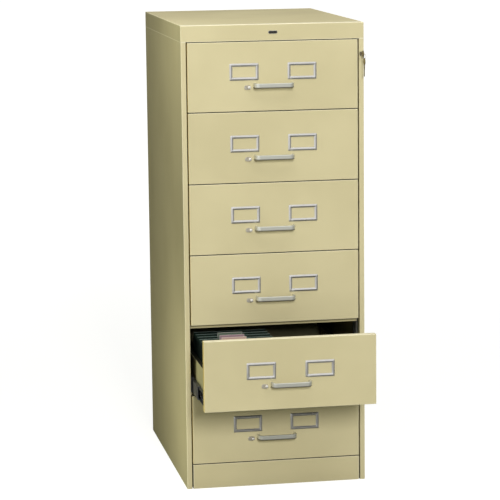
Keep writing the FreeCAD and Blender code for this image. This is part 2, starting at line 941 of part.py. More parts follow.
def lock_plug():
    body = new_body("lock_plug", (lock_across, -half_depth, lock_level))
    back = S.lock_body_depth + S.running_gap
    pad(body, "XZ", -S.plug_proud, back + S.plug_proud, circle(0, 0, S.plug_radius))
    pad(body, "XZ", back, S.cam_sheet, circle(0, 0, S.cam_radius))
    throw = pin_offset()
    pin_end = S.lock_bar_setback + S.lock_bar_sheet + S.cam_pin_proud
    pad(body, "XZ", back, pin_end - back, circle(-throw, -throw, S.cam_pin_radius))
    wide = S.key_sheet / 2 + S.keyway_side_gap
    tall = S.key_blade_height / 2 + S.keyway_side_gap
    keyway = rectangle(-wide, -tall, wide, tall)
    pocket(body, "XZ", -S.plug_proud, S.key_blade_length + S.keyway_end_gap, keyway)
    return body


def lock_key():
    """The key in the plug: a flat blade, a neck and a round bow with an eye."""
    body = new_body("lock_key", (lock_across, -half_depth, lock_level))
    half = S.key_sheet / 2
    tip = S.key_blade_length - S.plug_proud
    bow = -S.plug_proud - S.key_neck - S.key_bow_radius
    tall = S.key_blade_height / 2
    pad(body, "YZ", -half, S.key_sheet, rectangle(bow, -tall, tip, tall))
    pad(body, "YZ", -half, S.key_sheet, circle(bow, 0, S.key_bow_radius))
    eye = bow - S.key_bow_radius + S.key_eye_inset
    pocket(body, "YZ", -half, S.key_sheet, circle(eye, 0, S.key_eye_radius))
    return body


def key_eye_forward():
    """How far the eye of the key in the lock stands in front of the stile."""
    return S.plug_proud + S.key_neck + 2 * S.key_bow_radius - S.key_eye_inset


def key_ring():
    """A wire ring through the key's eye, with the spare key hanging from it."""
    place = (lock_across, -half_depth - key_eye_forward(), lock_level)
    body = new_body("key_ring_with_spare_key", place, several=True)
    drop = S.ring_radius - S.key_eye_radius + S.ring_wire_radius + S.ring_gap
    sketch = new_sketch(body, "YZ", 0)
    circle(0, -drop - S.ring_radius, S.ring_wire_radius)(sketch)
    turning_axis(sketch, (0, -drop), (S.ring_radius, -drop))
    ring = body.newObject("PartDesign::Revolution", "key_ring_wire")
    ring.Profile = sketch
    ring.ReferenceAxis = (sketch, ["Axis0"])
    ring.Angle = 360.0
    sketch.Visibility = False
    low = -drop - S.ring_radius
    eye = low - S.key_eye_radius + S.ring_wire_radius + S.ring_gap
    bow = eye - S.key_bow_radius + S.key_eye_inset
    half = S.key_sheet / 2
    wide = S.key_blade_height / 2
    end = bow - S.key_bow_radius - S.key_neck - S.key_blade_length
    pad(body, "YZ", -half, S.key_sheet,
        circle(0, bow, S.key_bow_radius), circle(0, eye, S.key_eye_radius))
    pad(body, "YZ", -half, S.key_sheet,
        rectangle(-wide, end, wide, bow))
    return body


def lock_bar():
    """A flat bar with a notch for the cam pin, and a finger welded on its front per drawer."""
    place = (half_width, S.lock_bar_setback - half_depth, 0)
    body = new_body("lock_bar", place, several=True)
    right = -S.panel_sheet - S.lock_bar_side_gap
    left = right - S.lock_bar_width
    foot = first_level + S.lock_bar_foot
    head = lock_level + S.lock_bar_top
    thick = S.lock_bar_sheet
    pad(body, "XZ", 0, thick, rectangle(left, foot, right, head))
    across = lock_across - half_width
    pin = pin_offset()
    room = S.cam_pin_radius + S.running_gap
    level = lock_level - pin
    notch = rectangle(left - room, level - room, across - pin + room, level + room)
    pocket(body, "XZ", 0, thick, notch)
    high = first_level + S.catch_level - S.lock_finger_gap
    finger = pad(body, "XZ", -S.lock_finger_weld_gap - thick, thick, rectangle(
        left - S.lock_finger_reach, high - S.lock_finger_height, right, high))
    repeat(body, finger, "Z_Axis", drawer_pitch * (DRAWERS - 1), DRAWERS)
    return body


# Guide cards stand in the left row of the open drawer, four of them with a clipped-on tab.

def guide_cards():
    floor = S.tray_lift + S.tray_sheet
    place = drawer_place(OPEN_INDEX, S.card_first, floor)
    body = new_body(f"drawer_{OPEN_INDEX}_guide_cards", place, several=True)
    left = -tray_half + S.tray_flange + S.card_side_gap
    right = -S.divider_width / 2 - S.card_side_gap
    card = pad(body, "XZ", 0, S.card_sheet, rectangle(left, 0, right, S.card_height))
    repeat(body, card, "Y_Axis", (GUIDE_CARDS - 1) * S.card_distance, GUIDE_CARDS)
    return body


def guide_tabs():
    floor = S.tray_lift + S.tray_sheet
    left = -tray_half + S.tray_flange + S.card_side_gap + S.tab_inset
    place = (left, -half_depth - reach(OPEN_INDEX) + S.card_first,
             drawer_level(OPEN_INDEX) + floor + S.card_height)
    body = new_body(f"drawer_{OPEN_INDEX}_guide_tabs", place, several=True)
    skin = S.tab_sheet
    card = S.card_sheet
    clip = polygon(
        (-skin, -S.tab_grip),
        (0, -S.tab_grip),
        (0, 0),
        (card, 0),
        (card, -S.tab_grip),
        (card + skin, -S.tab_grip),
        (card + skin, S.tab_height),
        (-skin, S.tab_height),
    )
    tab = pad(body, "YZ", 0, S.tab_width, clip)
    repeat(body, tab, "Y_Axis", (GUIDE_TABS - 1) * S.card_distance, GUIDE_TABS)
    return body


pieces = [
    side_panel("left_side_panel", -1),
    side_panel("right_side_panel", 1),
    back_panel(),
    top_cap(),
    base_panel(),
    bottom_pan(),
    slide_posts(),
    cross_rails(),
    case_slide_members(),
    badge_plate(),
    lock_housing(),
    lock_plug(),
    lock_key(),
    key_ring(),
    lock_bar(),
    guide_cards(),
    guide_tabs(),
]
for number_from_top in range(1, DRAWERS + 1):
    pieces += [
        drawer_front(number_from_top),
        drawer_tray(number_from_top),
        drawer_pull(number_from_top),
        label_holders(number_from_top),
        thumb_latch(number_from_top),
        drawer_slide_members(number_from_top),
        middle_slide_members(number_from_top),
    ]

document.recompute()

for item in document.Objects:
    if "Invalid" in item.State or "Error" in item.State:
        raise RuntimeError(f"{item.Label} did not build: {item.State}")
for piece in pieces:
    if piece.Shape.isNull() or not piece.Shape.isValid():
        raise RuntimeError(f"{piece.Label} has no sound shape")

os.makedirs("parts", exist_ok=True)
for piece in pieces:
    piece.Shape.exportStep(f"parts/{piece.Label}.step")
print(len(pieces), "nodes written")
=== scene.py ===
import math

import bmesh
import bpy
from mathutils import Matrix, Vector


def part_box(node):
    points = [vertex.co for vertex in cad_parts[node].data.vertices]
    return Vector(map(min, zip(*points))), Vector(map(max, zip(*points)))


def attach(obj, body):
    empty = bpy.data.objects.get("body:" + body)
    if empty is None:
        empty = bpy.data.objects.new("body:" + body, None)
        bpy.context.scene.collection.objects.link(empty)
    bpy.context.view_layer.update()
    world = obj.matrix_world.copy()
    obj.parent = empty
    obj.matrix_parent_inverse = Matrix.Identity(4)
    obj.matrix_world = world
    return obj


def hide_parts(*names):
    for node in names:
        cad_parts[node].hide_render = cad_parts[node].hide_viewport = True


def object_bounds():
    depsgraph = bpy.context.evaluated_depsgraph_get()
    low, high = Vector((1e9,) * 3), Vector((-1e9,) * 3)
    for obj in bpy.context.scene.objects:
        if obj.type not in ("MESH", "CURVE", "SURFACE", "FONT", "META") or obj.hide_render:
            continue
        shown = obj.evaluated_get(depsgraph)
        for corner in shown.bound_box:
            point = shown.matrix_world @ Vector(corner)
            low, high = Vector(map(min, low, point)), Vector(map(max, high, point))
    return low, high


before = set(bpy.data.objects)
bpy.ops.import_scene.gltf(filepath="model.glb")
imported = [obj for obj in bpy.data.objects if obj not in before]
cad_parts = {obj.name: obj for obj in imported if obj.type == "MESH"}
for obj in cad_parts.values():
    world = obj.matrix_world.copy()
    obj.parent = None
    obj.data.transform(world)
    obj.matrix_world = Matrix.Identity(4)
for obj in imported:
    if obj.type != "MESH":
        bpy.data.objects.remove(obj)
cad_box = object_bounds()

# Case panels
# Two side panels, top cap, base panel and back are folded from 1.2 mm sheet steel, welded,
# and sprayed with a putty coloured baking enamel that flows out to a fine orange peel.
# Inside the case, where little light gets in, the sheet is painted near black: painted shade.


class Value:
    """A socket of a finish, so that sums on it read as sums."""

    def __init__(self, finish, socket):
        self.finish = finish
        self.socket = socket

    def maths(self, operation, *inputs, clamp=False):
        settings = {"operation": operation, "use_clamp": clamp}
        return self.finish.add("ShaderNodeMath", settings, dict(enumerate(inputs)))

    def __add__(self, other):
        return self.maths("ADD", self, other)

    def __radd__(self, other):
        return self.maths("ADD", other, self)

    def __sub__(self, other):
        return self.maths("SUBTRACT", self, other)

    def __rsub__(self, other):
        return self.maths("SUBTRACT", other, self)

    def __mul__(self, other):
        return self.maths("MULTIPLY", self, other)

    def __rmul__(self, other):
        return self.maths("MULTIPLY", other, self)

    def least(self, other):
        return self.maths("MINIMUM", self, other)

    def most(self, other):
        return self.maths("MAXIMUM", self, other)

    def held(self):
        """The same value, kept between 0 and 1."""
        return self.maths("ADD", self, 0.0, clamp=True)

    def ease(self, start, end):
        """0 at `start`, 1 at `end`, with a soft run between them."""
        return self.finish.add(
            "ShaderNodeMapRange", {"interpolation_type": "SMOOTHSTEP"},
            {"Value": self, "From Min": start, "From Max": end, "To Min": 0.0, "To Max": 1.0})


class Finish:
    """One procedural material, read in the object's own coordinates."""

    def __init__(self, name, stock=bpy.data.materials):
        self.material = stock.new(name)
        self.material.use_nodes = True
        self.nodes = self.material.node_tree.nodes
        self.links = self.material.node_tree.links
        self.nodes.clear()
        self.place = self.add("ShaderNodeTexCoord", {}, {}, "Object")

    def add(self, kind, settings, inputs, output=0):
        """Places a node: its settings first, then values or links for its sockets."""
        node = self.nodes.new(kind)
        for key, setting in settings.items():
            setattr(node, key, setting)
        for key, given in inputs.items():
            socket = node.inputs[key]
            if isinstance(given, Value):
                self.links.new(given.socket, socket)
            elif socket.type == "RGBA":
                socket.default_value = (*given[:3], 1.0)
            else:
                socket.default_value = given
        return Value(self, node.outputs[output])

    def axes(self):
        parts = self.add("ShaderNodeSeparateXYZ", {}, {"Vector": self.place})
        return [Value(self, parts.socket.node.outputs[index]) for index in range(3)]

    def noise(self, scale, detail=2.0, roughness=0.5, stretch=(1, 1, 1), shift=(0, 0, 0)):
        spot = self.place
        if stretch != (1, 1, 1) or shift != (0, 0, 0):
            spot = self.add("ShaderNodeMapping", {},
                            {"Vector": self.place, "Scale": stretch, "Location": shift})
        return self.add("ShaderNodeTexNoise", {}, {
            "Vector": spot, "Scale": scale, "Detail": detail, "Roughness": roughness})

    def mix(self, share, first, second):
        return self.add(
            "ShaderNodeMix", {"data_type": "RGBA", "clamp_factor": True},
            {0: share, 6: first, 7: second}, 2)

    def bump(self, height, depth, normal=None, strength=1.0):
        inputs = {"Height": height, "Distance": depth, "Strength": strength}
        if normal is not None:
            inputs["Normal"] = normal
        return self.add("ShaderNodeBump", {}, inputs)

    def done(self, **sockets):
        named = {key.replace("_", " "): given for key, given in sockets.items()}
        return self.show(self.add("ShaderNodeBsdfPrincipled", {}, named))

    def show(self, shader, output="ShaderNodeOutputMaterial"):
        node = self.nodes.new(output)
        self.links.new(shader.socket, node.inputs["Surface"])
        return self.material


def linear(red, green, blue):
    """A colour as seen on a screen, 0 to 255, made linear."""
    def one(level):
        share = level / 255
        return share / 12.92 if share <= 0.04045 else ((share + 0.055) / 1.055) ** 2.4
    return (one(red), one(green), one(blue))


def coat(nodes, material):
    """Puts a finish on every slot of the given solids."""
    for name in nodes:
        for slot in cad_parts[name].material_slots:
            slot.material = material


PUTTY = (213, 202, 163)
CASE_INSIDE_SHADE = (33, 31, 20)
THIN_PAINT_AND_HIGHLIGHT = (244, 237, 212)
LIT_FOLD = (236, 212, 140)
FLOOR_DUST = (150, 141, 112)
GAP_SHADE_COLOUR = (84, 74, 38)
# Runs in metres from a fold, a wall or the floor: where each starts, and where it is full.
WEAR_AND_HIGHLIGHT_RUN = (0.0021, 0.0004)
TOP_HIGHLIGHT = (0.0022, 0.0006)
TOP_HIGHLIGHT_BACK = (0.03, 0.02)
LEFT_HIGHLIGHT_RUN = (0.0011, 0.0004)
TOP_GAP_SHADE = (0.0012, 0.0006)
TOP_GAP_SHADE_BACK = (0.0008, 0.0020)
GRIMY_FOOT = (0.045, 0.0)
LINED = (0.0, 0.0004)


def depths_in(box, place):
    """How deep a spot lies in a box on each axis, from the nearer of its two faces."""
    return [(axis - low).least(high - axis) for axis, low, high in zip(place, *box)]


def enamel(name, box, colour=PUTTY, sheen=0.36, grime=0.0, inside=None,
           inside_shade=CASE_INSIDE_SHADE, wear_and_highlight_share=0.6, left_fold_highlight=0.0, top_fold_highlight=0.7, gap_shade_share=0.0):
    """Putty enamel on a folded piece, its gloss dulled by hands and grime at its foot. Folds are
    paler, partly worn thin and partly painted highlight; gaps and insides get painted shade.
    """
    low, high = box
    paint = Finish(name)
    place = paint.axes()
    across, along, up = place
    broken = paint.noise(160.0, 3.0, 0.65)
    cloud = paint.noise(3.2, 3.0, 0.55, shift=tuple(low))
    speck = paint.noise(900.0, 1.0)
    smear = paint.noise(11.0, 5.0, 0.6, stretch=(1, 1, 0.35))
    pale = linear(*(min(255, level + 14) for level in colour))
    deep = linear(*(level - 9 for level in colour))
    shade = paint.mix(cloud.ease(0.3, 0.7), deep, linear(*colour))
    shade = paint.mix(speck.ease(0.55, 0.8) * 0.22, shade, pale)
    # The middle one of the three depths is the distance to the nearest fold.
    first, second, third = depths_in(box, place)
    fold = first.least(second).most(first.most(second).least(third))
    # Folds turn pale: partly paint worn thin, partly a painted highlight where the folds catch
    # the light.
    fold_wear_and_highlight = (fold + (broken - 0.5) * 0.0016).ease(*WEAR_AND_HIGHLIGHT_RUN)
    # A painted highlight along the top fold, near the front face.
    top = (high[2] - up).ease(*TOP_HIGHLIGHT) * (along - low[1]).ease(*TOP_HIGHLIGHT_BACK)
    shade = paint.mix((fold_wear_and_highlight * wear_and_highlight_share).most(top * top_fold_highlight), shade, linear(*THIN_PAINT_AND_HIGHLIGHT))
    # A painted highlight along the left fold, as if lit from the front left.
    left = (across - low[0]).ease(*LEFT_HIGHLIGHT_RUN)
    shade = paint.mix(left * left_fold_highlight, shade, linear(*LIT_FOLD))
    # Painted shade on the top wall, where it lies in the gap under the piece above.
    if gap_shade_share:
        gap_shade = (high[2] - up).ease(*TOP_GAP_SHADE) * (along - low[1]).ease(*TOP_GAP_SHADE_BACK)
        shade = paint.mix(gap_shade * gap_shade_share, shade, linear(*GAP_SHADE_COLOUR))
    # Painted shade: inside the box the colour goes near black, where little light gets in.
    if inside:
        first, second, third = depths_in(inside, place)
        within = first.least(second).least(third).ease(*LINED)
        shade = paint.mix(within, shade, linear(*inside_shade))
    if grime:
        foot = (up + (smear - 0.5) * 0.03).ease(*GRIMY_FOOT)
        shade = paint.mix(foot * grime, shade, linear(*FLOOR_DUST))
    peel = paint.noise(420.0, 2.0, 0.45)
    wave = paint.noise(4.5, 1.0, 0.4, shift=(low[0] * 3, low[1], low[2] * 2))
    skin = paint.bump(wave, 0.0011, strength=0.5)
    skin = paint.bump(peel, 0.00009, skin, 0.55)
    gloss = sheen + (smear - 0.5) * 0.12 + fold_wear_and_highlight * 0.08
    return paint.done(Base_Color=shade, Roughness=gloss.held(), Normal=skin,
                      Specular_IOR_Level=0.22)


# The painted shade starts a hair inside the walls and behind the returns of the stiles.
CASE_INSIDE = ((-0.2586, -0.3365, 0.001), (0.2586, 0.3598, 1.2745))
for panel in ("left_side_panel", "right_side_panel", "top_cap", "base_panel", "back_panel"):
    # The base panel's top wall lies in the gap under the lowest drawer: painted shade there, and
    # no painted highlight on its top fold.
    under_drawer = panel == "base_panel"
    coat([panel], enamel(f"{panel}_enamel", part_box(panel), inside=CASE_INSIDE,
                         grime=0.0 if panel == "top_cap" else 0.12,
                         top_fold_highlight=0.0 if under_drawer else 0.7,
                         gap_shade_share=0.9 if under_drawer else 0.0))

# Frame inside the case
# Slotted posts and the floor pan are zinc plated steel gone dull, spot welded to the sides.
# The thin rails between the drawers are enamelled, each with a narrow lip under its front edge.

SHARP_FOLD = 38


def finished(name, mesh, material, body):
    """Wraps a mesh as a piece that rides on a body."""
    mesh.materials.clear()
    mesh.materials.append(material)
    mesh.shade_smooth()
    mesh.set_sharp_from_angle(angle=math.radians(SHARP_FOLD))
    piece = bpy.data.objects.new(name, mesh)
    bpy.context.scene.collection.objects.link(piece)
    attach(piece, body)
    return piece


def outward(shape):
    """Merges doubled points and turns every face outwards."""
    bmesh.ops.remove_doubles(shape, verts=shape.verts, dist=1e-7)
    bmesh.ops.recalc_face_normals(shape, faces=shape.faces)


def mesh_of(name, shape):
    outward(shape)
    mesh = bpy.data.meshes.new(name)
    shape.to_mesh(mesh)
    shape.free()
    return mesh


def add_block(shape, low, high, edge):
    """A block between two corners, its edges rounded by `edge`."""
    made = bmesh.ops.create_cube(shape, size=1.0)["verts"]
    for vert in made:
        vert.co = Vector(a + (b - a) * (share + 0.5) for a, b, share in zip(low, high, vert.co))
    edges = {edge for vert in made for edge in vert.link_edges}
    bmesh.ops.bevel(shape, geom=list(edges), offset=edge, segments=2, profile=0.6,
                    affect="EDGES")


OLD_BLOOM = (0.36, 0.355, 0.33)


def zinc(name, tone=(0.56, 0.57, 0.58), grain=(1, 0.02, 1), sheen=0.38):
    """Zinc plating: spangled, drawn out along the grain, with a dull bloom in places."""
    plate = Finish(name)
    flake = plate.add("ShaderNodeTexVoronoi", {"feature": "F1"},
                      {"Vector": plate.place, "Scale": 140.0}, "Color")
    level = plate.add("ShaderNodeSeparateColor", {}, {"Color": flake})
    streak = plate.noise(700.0, 2.0, 0.6, stretch=grain)
    bloom = plate.noise(26.0, 4.0, 0.6)
    bright = tuple(min(1.0, part * 1.22) for part in tone)
    dull = tuple(part * 0.66 for part in tone)
    shade = plate.mix(level * 0.45 + streak * 0.4, dull, bright)
    shade = plate.mix(bloom.ease(0.55, 0.75) * 0.3, shade, OLD_BLOOM)
    gloss = sheen + streak * 0.16 + bloom * 0.08
    skin = plate.bump(streak, 0.00005, strength=0.6)
    return plate.done(Base_Color=shade, Metallic=0.92, Roughness=gloss.held(), Normal=skin)


coat(["slide_posts", "bottom_pan"],
     zinc("post_zinc", tone=(0.30, 0.30, 0.27), grain=(1, 1, 0.02), sheen=0.5))
coat(["cross_rails"], enamel("rail_enamel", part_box("cross_rails"), colour=(212, 200, 156)))
coat(["lock_bar"], zinc("lock_bar_zinc", grain=(1, 1, 0.02)))

RAILS = 5
RAIL_HEIGHT = 0.0096
LIP_DROP = 0.0052
LIP_LAP = 0.0008
LIP_THICK = 0.0012
LIP_SHORT = 0.0006
LIP_EDGE = 0.0003
low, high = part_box("cross_rails")
rail_pitch = (high.z - low.z - RAIL_HEIGHT) / (RAILS - 1)
shape = bmesh.new()
for step in range(RAILS):
    foot = low.z + rail_pitch * step
    add_block(shape, (low.x + LIP_SHORT, low.y, foot - LIP_DROP),
              (high.x - LIP_SHORT, low.y + LIP_THICK, foot + LIP_LAP), LIP_EDGE)
lip_enamel = enamel("rail_lip_enamel", (low, high), colour=(208, 197, 154))
finished("rail_lips", mesh_of("lips", shape), lip_enamel, "case")

# Drawer slides
# Three cold rolled channels telescope on each side of a drawer. The outer one is riveted to
# the posts and the inner one screwed to the tray; rolling leaves long fine lines in the zinc.
# A rubber bumper and a release lever sit at the front of each inner channel.

DRAWERS = range(1, 7)
CHANNEL_FACE = 0.2309
# Thickness, length and height of what sits on the channel's web.
BUMPER_SIZE = (0.0053, 0.011, 0.020)
LEVER_SIZE = (0.0031, 0.048, 0.007)
THUMB_PAD_SIZE = (0.0031, 0.009, 0.012)
THUMB_PAD_DROP = 0.0085
BUMPER_AT = 0.0012
BUMPER_EDGE = 0.0012
LEVER_AT = 0.078
LEVER_EDGE = 0.0008


def add_on_channel(shape, side, start, foot, size, edge):
    """A block on the inner channel's web, at one side of the drawer."""
    thick, length, tall = size
    near, far = sorted((side * CHANNEL_FACE, side * (CHANNEL_FACE + thick)))
    add_block(shape, (near, start, foot), (far, start + length, foot + tall), edge)


def black_rubber():
    rubber = Finish("bumper_rubber")
    grit = rubber.noise(1100.0, 3.0, 0.7)
    shade = rubber.mix(grit.ease(0.4, 0.7), (0.012, 0.012, 0.013), (0.035, 0.034, 0.032))
    skin = rubber.bump(grit, 0.00008, strength=0.6)
    return rubber.done(Base_Color=shade, Roughness=(0.62 + grit * 0.2).held(), Normal=skin)


coat(["case_slide_members"], zinc("outer_slide_zinc", tone=(0.30, 0.315, 0.35)))
bumper_rubber = black_rubber()
for drawer in DRAWERS:
    coat([f"drawer_{drawer}_middle_slide_members", f"drawer_{drawer}_slide_members"],
         zinc(f"drawer_{drawer}_slide_zinc", tone=(0.21, 0.225, 0.27), sheen=0.3))
    low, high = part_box(f"drawer_{drawer}_slide_members")
    middle = (low.z + high.z) / 2
    shape = bmesh.new()
    for side in (-1, 1):
        add_on_channel(shape, side, low.y + BUMPER_AT, middle - BUMPER_SIZE[2] / 2,
                       BUMPER_SIZE, BUMPER_EDGE)
        add_on_channel(shape, side, low.y + LEVER_AT, middle - LEVER_SIZE[2] / 2,
                       LEVER_SIZE, LEVER_EDGE)
        add_on_channel(shape, side, low.y + LEVER_AT, middle - THUMB_PAD_DROP,
                       THUMB_PAD_SIZE, LEVER_EDGE)
    finished(f"drawer_{drawer}_bumpers_and_levers", mesh_of("bumpers", shape), bumper_rubber,
             f"drawer_{drawer}")

# Drawer trays
# Floor and sides are one folded sheet with a rolled flange along the top, sprayed with the
# case's enamel in a darker tone, which is painted shade. The flange is paler, partly worn by
# cards and hands and partly painted highlight. Its rows are painted near black: painted shade.

TRAY_ROW_SHADE = (39, 38, 29)
ROWS_HALF = 0.2288
END_WALL = 0.0008
TRAY_FLOOR = 0.0006
FLANGE_DEPTH = 0.0135
for drawer in DRAWERS:
    tray = f"drawer_{drawer}_tray"
    low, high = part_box(tray)
    rows = ((-ROWS_HALF, low.y + END_WALL, low.z + TRAY_FLOOR),
            (ROWS_HALF, high.y - END_WALL, high.z - FLANGE_DEPTH))
    # The darker tray tone is painted shade; the stronger pale flange is partly wear and partly
    # painted highlight.
    coat([tray], enamel(f"{tray}_enamel", (low, high), colour=(184, 177, 138), sheen=0.42,
                        inside=rows, inside_shade=TRAY_ROW_SHADE, wear_and_highlight_share=0.85))

# Drawer fronts
# Each front is a shallow pan with rounded folds, sprayed on all sides and then screwed to
# its tray from behind. The open drawer's top fold gets a painted highlight, and the top walls of
# those that stay shut get painted shade where they lie in the gaps. Every left fold gets a
# painted highlight.

OPEN_DRAWER = 5
for drawer in DRAWERS:
    front = f"drawer_{drawer}_front"
    stays_open = drawer == OPEN_DRAWER
    coat([front], enamel(f"{front}_enamel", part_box(front), left_fold_highlight=1.0,
                         top_fold_highlight=0.7 if stays_open else 0.0,
                         gap_shade_share=0.0 if stays_open else 0.9))

# Label holders
# Two stamped frames a drawer, nickel plated: a raised bead round an open window, hollow
# behind to take a paper slip.


def nickel(name, tone=(0.62, 0.61, 0.60), sheen=0.2, tarnish=0.25, metal=1.0):
    """Nickel plating with fine upright scratches and patches of tarnish."""
    plate = Finish(name)
    haze = plate.noise(60.0, 4.0, 0.6)
    scratch = plate.noise(900.0, 2.0, 0.7, stretch=(1, 1, 0.06))
    dull = tuple(part * 0.62 for part in tone)
    shade = plate.mix(haze.ease(0.5, 0.72) * tarnish, tone, dull)
    gloss = sheen + haze * 0.10 + scratch.ease(0.6, 0.75) * 0.08
    skin = plate.bump(scratch, 0.00003, strength=0.35)
    return plate.done(Base_Color=shade, Metallic=metal, Roughness=gloss.held(), Normal=skin)


HOLDER_SIZE = (0.0825, 0.0476)
HOLDER_CORNER = 0.0025
HOLDER_OFFSET = 0.0825
WINDOW_SIZE = (0.066, 0.030)
WINDOW_CORNER = 0.0006
# Share of the way from the outer edge to the window, and height over the front in mm.
BEAD = (
    (0.00, 0.00), (0.00, 0.50), (0.05, 0.80), (0.16, 1.45), (0.28, 2.10), (0.40, 2.72),
    (0.47, 2.96), (0.50, 3.00), (0.53, 2.96), (0.60, 2.72), (0.72, 2.05), (0.84, 1.35),
    (0.94, 0.80), (1.00, 0.60), (1.00, 0.20), (0.86, 0.60), (0.50, 2.10), (0.16, 0.60),
    (0.10, 0.00),
)


def part_way(first, second, share):
    return first + (second - first) * share


def rounded(wide, tall, corner, steps=6):
    """Points round a rectangle with rounded corners, in x and z."""
    points = []
    for turn, (side, up) in enumerate(((1, 1), (-1, 1), (-1, -1), (1, -1))):
        for step in range(steps + 1):
            angle = math.radians(90 * (turn + step / steps))
            points.append((side * (wide / 2 - corner) + corner * math.cos(angle),
                           up * (tall / 2 - corner) + corner * math.sin(angle)))
    return points


def join_rings(shape, rings):
    """Lays faces from each ring of points to the one after it."""
    for ring, following in zip(rings, rings[1:]):
        for index in range(len(ring)):
            after = (index + 1) % len(ring)
            shape.faces.new((ring[index], ring[after], following[after], following[index]))


def add_holder(shape, middle, face, level):
    """Sweeps the bead round the window."""
    rings = []
    for share, height in BEAD:
        wide = part_way(HOLDER_SIZE[0], WINDOW_SIZE[0], share)
        tall = part_way(HOLDER_SIZE[1], WINDOW_SIZE[1], share)
        corner = part_way(HOLDER_CORNER, WINDOW_CORNER, share)
        rings.append([shape.verts.new((middle + x, face - height / 1000, level + z))
                      for x, z in rounded(wide, tall, corner)])
    join_rings(shape, rings + rings[:1])


holder_nickel = nickel("holder_nickel", tone=(0.57, 0.56, 0.545), sheen=0.24, metal=0.78)
for drawer in DRAWERS:
    low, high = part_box(f"drawer_{drawer}_label_holders")
    shape = bmesh.new()
    for side in (-1, 1):
        add_holder(shape, side * HOLDER_OFFSET, high.y, (low.z + high.z) / 2)
    holders = finished(f"drawer_{drawer}_stamped_holders", mesh_of("holders", shape),
                       holder_nickel, f"drawer_{drawer}")
    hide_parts(f"drawer_{drawer}_label_holders")

# Pulls
# One bar of drawn aluminium, bent back at both ends and screwed on from inside the front,
# with a satin face brushed along its length; painted shade darkens its underside.

UNDERSIDE_SHADE = (0.0047, 0.0013)


def satin(name, foot):
    bar = Finish(name)
    under = (bar.axes()[2] - foot).ease(*UNDERSIDE_SHADE)
    brush = bar.noise(1500.0, 2.0, 0.6, stretch=(0.012, 1, 1))
    touch = bar.noise(38.0, 3.0, 0.6)
    shade = bar.mix(brush, (0.59, 0.59, 0.53), (0.74, 0.74, 0.67))
    # Painted shade: the lowest few millimetres of the bar go near black.
    shade = bar.mix(under * 0.9, shade, (0.15, 0.13, 0.10))
    shade = bar.mix(touch.ease(0.5, 0.8) * 0.2, shade, (0.58, 0.56, 0.49))
    gloss = 0.34 + brush * 0.12 + touch * 0.08
    skin = bar.bump(brush, 0.00005, strength=0.5)
    return bar.done(Base_Color=shade, Metallic=0.75, Roughness=gloss.held(), Normal=skin)


for drawer in DRAWERS:
    pull = f"drawer_{drawer}_pull"
    coat([pull], satin(f"{pull}_satin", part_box(pull)[0].z))

# Thumb latches
# A small nickel plated slide at the left of each pull: a thin plate with a domed knob, whose
# stem passes a slot in the front and carries the bolt inside.

PLATE_HALF_WIDE = 0.0095
PLATE_HALF_TALL = 0.00635
PLATE_THICK = 0.0014
PLATE_EASE = 0.0004
PLATE_FACE_SHARE = 0.94
# Powers below 1 make the leaf blunter than an ellipse, more at its ends than at its sides.
LEAF_ENDS = 0.62
LEAF_SIDES = 0.85
STEM_HALF = 0.0025
STEM_END = 0.001
BOLT_HALF = 0.003
BOLT_THICK = 0.002
BAR_EDGE = 0.0003
KNOB_REACH = 0.007
KNOB_SHIFT = 0.0044
KNOB_SINK = 0.0001
# Radius and distance in front of the plate, in mm, from the foot to the crown.
KNOB = (
    (3.3, 0.0), (3.1, 0.8), (3.0, 1.8), (3.2, 2.8), (3.8, 3.5), (4.4, 4.1), (4.6, 4.8),
    (4.5, 5.5), (4.0, 6.2), (3.1, 6.7), (2.0, 6.92), (1.0, 7.0),
)


def close_rings(shape, rings):
    """A solid through rings of points, with its first and last ring filled in."""
    join_rings(shape, rings)
    shape.faces.new(rings[0])
    shape.faces.new(rings[-1])


def add_plate(shape, across, level, back, steps=48):
    """A leaf-shaped plate, blunt at both ends, with its front edge eased."""
    outline = []
    for step in range(steps):
        angle = 2 * math.pi * step / steps
        wide, tall = math.cos(angle), math.sin(angle)
        outline.append((math.copysign(abs(wide) ** LEAF_ENDS, wide) * PLATE_HALF_WIDE,
                        math.copysign(abs(tall) ** LEAF_SIDES, tall) * PLATE_HALF_TALL))
    front = back - PLATE_THICK
    close_rings(shape, [
        [shape.verts.new((across + x * share, depth, level + z * share)) for x, z in outline]
        for share, depth in ((1.0, back), (1.0, front + PLATE_EASE), (PLATE_FACE_SHARE, front))])


def add_turned(shape, profile, centre, steps=28):
    """A turned form whose axis runs forward from `centre`; lengths in mm."""
    rings = []
    for radius, out in profile:
        rings.append([shape.verts.new((
            centre[0] + radius / 1000 * math.cos(2 * math.pi * step / steps),
            centre[1] - out / 1000,
            centre[2] + radius / 1000 * math.sin(2 * math.pi * step / steps),
        )) for step in range(steps)])
    close_rings(shape, rings)


